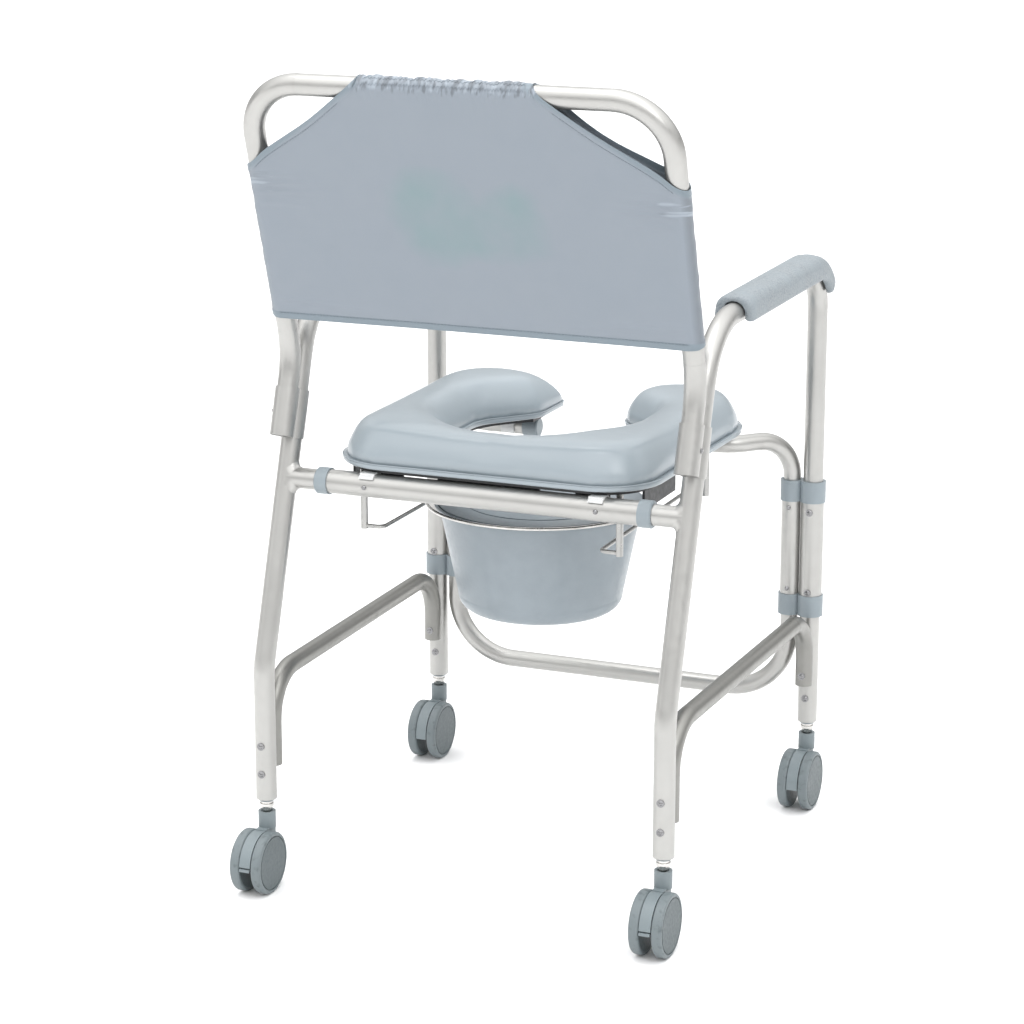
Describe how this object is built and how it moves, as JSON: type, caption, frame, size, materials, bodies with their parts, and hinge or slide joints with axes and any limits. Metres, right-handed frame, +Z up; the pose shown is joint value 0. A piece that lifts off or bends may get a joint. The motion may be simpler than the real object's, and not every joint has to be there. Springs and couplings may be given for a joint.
{
  "type": "commode chair",
  "caption": "Wheeled commode chair: bent aluminium tube frame on twin-wheel casters, padded open-front seat, lift-off fabric back and a lidded pail that slides out rearward.",
  "frame": {"origin": "on the floor under the middle of the chair's bounding box", "axes": "+Z up, -Y the way the sitter faces, +X the sitter's left"},
  "size_m": [0.566, 0.6027, 0.9763],
  "materials": {
    "aluminium_tube": "satin anodised",
    "rail_metal": "silver coated wire",
    "steel": "plated",
    "grey_trim": "moulded",
    "caster_plastic": "moulded",
    "arm_foam": "pebbled",
    "seat_vinyl": "glossy vinyl",
    "back_fabric": "woven nylon",
    "pail_plastic": "moulded",
    "black_plastic": "moulded",
    "white_plastic": "moulded"
  },
  "bodies": {
    "frame": {"side_tube_left": "aluminium_tube", "side_tube_right": "aluminium_tube", "side_brace_left": "aluminium_tube", "side_brace_right": "aluminium_tube", "crossbar_stubs": "aluminium_tube", "rear_crossbar": "aluminium_tube", "crossbar_collars": "grey_trim", "front_sleeve_left": "aluminium_tube", "front_sleeve_right": "aluminium_tube", "sleeve_end_caps": "grey_trim", "lower_cross_tube": "aluminium_tube", "seat_arm_left": "aluminium_tube", "seat_arm_right": "aluminium_tube", "seat_arm_plugs": "grey_trim", "back_socket_left": "aluminium_tube", "back_socket_right": "aluminium_tube", "brace_rivets": "steel", "bracket_rivets": "steel", "leg_inserts": "grey_trim", "arm_pad_left": "arm_foam", "arm_pad_right": "arm_foam", "seat_cushion": "seat_vinyl", "seat_pan": "black_plastic", "seat_clips": "white_plastic", "pail_rail_left": "rail_metal", "pail_rail_right": "rail_metal", "caster_stems": "steel"},
    "back_button_left_body": {"back_button_left": "steel"},
    "crossbar_button_left_body": {"crossbar_button_left": "steel"},
    "upper_sleeve_button_left_body": {"upper_sleeve_button_left": "steel"},
    "lower_sleeve_button_left_body": {"lower_sleeve_button_left": "steel"},
    "back_button_right_body": {"back_button_right": "steel"},
    "crossbar_button_right_body": {"crossbar_button_right": "steel"},
    "upper_sleeve_button_right_body": {"upper_sleeve_button_right": "steel"},
    "lower_sleeve_button_right_body": {"lower_sleeve_button_right": "steel"},
    "back": {"back_tube": "aluminium_tube", "back_upholstery": "back_fabric"},
    "pail_body": {"pail": "pail_plastic"},
    "lid_body": {"pail_lid": "pail_plastic"},
    "handle_body": {"pail_handle": "steel"},
    "rear_left_caster": {"rear_left_hood": "caster_plastic", "rear_left_axle": "steel"},
    "rear_left_outer_wheel_body": {"rear_left_outer_wheel": "caster_plastic"},
    "rear_left_inner_wheel_body": {"rear_left_inner_wheel": "caster_plastic"},
    "rear_right_caster": {"rear_right_hood": "caster_plastic", "rear_right_axle": "steel"},
    "rear_right_outer_wheel_body": {"rear_right_outer_wheel": "caster_plastic"},
    "rear_right_inner_wheel_body": {"rear_right_inner_wheel": "caster_plastic"},
    "front_left_caster": {"front_left_hood": "caster_plastic", "front_left_axle": "steel"},
    "front_left_outer_wheel_body": {"front_left_outer_wheel": "caster_plastic"},
    "front_left_inner_wheel_body": {"front_left_inner_wheel": "caster_plastic"},
    "front_right_caster": {"front_right_hood": "caster_plastic", "front_right_axle": "steel"},
    "front_right_outer_wheel_body": {"front_right_outer_wheel": "caster_plastic"},
    "front_right_inner_wheel_body": {"front_right_inner_wheel": "caster_plastic"},
    "rear_left_brake_body": {"rear_left_brake": "caster_plastic"},
    "rear_right_brake_body": {"rear_right_brake": "caster_plastic"}
  },
  "joints": [
    {"name": "back_lift", "type": "slide", "parent": "frame", "child": "back", "axis": [0, -0.3057, 0.9521], "range_m": [0, 0.05], "deforming": ["back_button_left", "back_button_right"]},
    {"name": "back_button_left_press", "type": "slide", "parent": "back", "child": "back_button_left_body", "axis": [-1, 0, 0], "range_m": [0, 0.0042], "stiffness_N_per_m": 400, "springref_m": -0.004},
    {"name": "crossbar_button_left_press", "type": "slide", "parent": "frame", "child": "crossbar_button_left_body", "axis": [0, -1, 0], "range_m": [0, 0.0042], "stiffness_N_per_m": 400, "springref_m": -0.004},
    {"name": "upper_sleeve_button_left_press", "type": "slide", "parent": "frame", "child": "upper_sleeve_button_left_body", "axis": [0, -1, 0], "range_m": [0, 0.004], "stiffness_N_per_m": 400, "springref_m": -0.004},
    {"name": "lower_sleeve_button_left_press", "type": "slide", "parent": "frame", "child": "lower_sleeve_button_left_body", "axis": [0, -1, 0], "range_m": [0, 0.004], "stiffness_N_per_m": 400, "springref_m": -0.004},
    {"name": "back_button_right_press", "type": "slide", "parent": "back", "child": "back_button_right_body", "axis": [1, 0, 0], "range_m": [0, 0.0042], "stiffness_N_per_m": 400, "springref_m": -0.004},
    {"name": "crossbar_button_right_press", "type": "slide", "parent": "frame", "child": "crossbar_button_right_body", "axis": [0, -1, 0], "range_m": [0, 0.0042], "stiffness_N_per_m": 400, "springref_m": -0.004},
    {"name": "upper_sleeve_button_right_press", "type": "slide", "parent": "frame", "child": "upper_sleeve_button_right_body", "axis": [0, -1, 0], "range_m": [0, 0.004], "stiffness_N_per_m": 400, "springref_m": -0.004},
    {"name": "lower_sleeve_button_right_press", "type": "slide", "parent": "frame", "child": "lower_sleeve_button_right_body", "axis": [0, -1, 0], "range_m": [0, 0.004], "stiffness_N_per_m": 400, "springref_m": -0.004},
    {"name": "pail_slide", "type": "slide", "parent": "frame", "child": "pail_body", "axis": [0, 1, 0], "range_m": [0, 0.36]},
    {"name": "lid_lift", "type": "slide", "parent": "pail_body", "child": "lid_body", "axis": [0, 0, 1], "range_m": [0, 0.02]},
    {"name": "pail_handle_swing", "type": "hinge", "parent": "pail_body", "child": "handle_body", "pos_m": [0, -0.01, 0.443], "axis": [1, 0, 0], "range_deg": [0, 12]},
    {"name": "rear_left_swivel", "type": "hinge", "parent": "frame", "child": "rear_left_caster", "pos_m": [0.2515, 0.239, 0.085], "axis": [0, 0, 1], "continuous": true},
    {"name": "rear_left_outer_roll", "type": "hinge", "parent": "rear_left_caster", "child": "rear_left_outer_wheel_body", "pos_m": [0.2515, 0.264, 0.0375], "axis": [1, 0, 0], "continuous": true},
    {"name": "rear_left_inner_roll", "type": "hinge", "parent": "rear_left_caster", "child": "rear_left_inner_wheel_body", "pos_m": [0.2515, 0.264, 0.0375], "axis": [1, 0, 0], "continuous": true},
    {"name": "rear_right_swivel", "type": "hinge", "parent": "frame", "child": "rear_right_caster", "pos_m": [-0.2515, 0.239, 0.085], "axis": [0, 0, 1], "continuous": true},
    {"name": "rear_right_outer_roll", "type": "hinge", "parent": "rear_right_caster", "child": "rear_right_outer_wheel_body", "pos_m": [-0.2515, 0.264, 0.0375], "axis": [1, 0, 0], "continuous": true},
    {"name": "rear_right_inner_roll", "type": "hinge", "parent": "rear_right_caster", "child": "rear_right_inner_wheel_body", "pos_m": [-0.2515, 0.264, 0.0375], "axis": [1, 0, 0], "continuous": true},
    {"name": "front_left_swivel", "type": "hinge", "parent": "frame", "child": "front_left_caster", "pos_m": [0.259, -0.285, 0.085], "axis": [0, 0, 1], "continuous": true},
    {"name": "front_left_outer_roll", "type": "hinge", "parent": "front_left_caster", "child": "front_left_outer_wheel_body", "pos_m": [0.259, -0.26, 0.0375], "axis": [1, 0, 0], "continuous": true},
    {"name": "front_left_inner_roll", "type": "hinge", "parent": "front_left_caster", "child": "front_left_inner_wheel_body", "pos_m": [0.259, -0.26, 0.0375], "axis": [1, 0, 0], "continuous": true},
    {"name": "front_right_swivel", "type": "hinge", "parent": "frame", "child": "front_right_caster", "pos_m": [-0.259, -0.285, 0.085], "axis": [0, 0, 1], "continuous": true},
    {"name": "front_right_outer_roll", "type": "hinge", "parent": "front_right_caster", "child": "front_right_outer_wheel_body", "pos_m": [-0.259, -0.26, 0.0375], "axis": [1, 0, 0], "continuous": true},
    {"name": "front_right_inner_roll", "type": "hinge", "parent": "front_right_caster", "child": "front_right_inner_wheel_body", "pos_m": [-0.259, -0.26, 0.0375], "axis": [1, 0, 0], "continuous": true},
    {"name": "rear_left_brake_press", "type": "hinge", "parent": "rear_left_caster", "child": "rear_left_brake_body", "pos_m": [0.2515, 0.285, 0.045], "axis": [-1, 0, 0], "range_deg": [0, 12]},
    {"name": "rear_right_brake_press", "type": "hinge", "parent": "rear_right_caster", "child": "rear_right_brake_body", "pos_m": [-0.2515, 0.285, 0.045], "axis": [-1, 0, 0], "range_deg": [0, 12]}
  ]
}
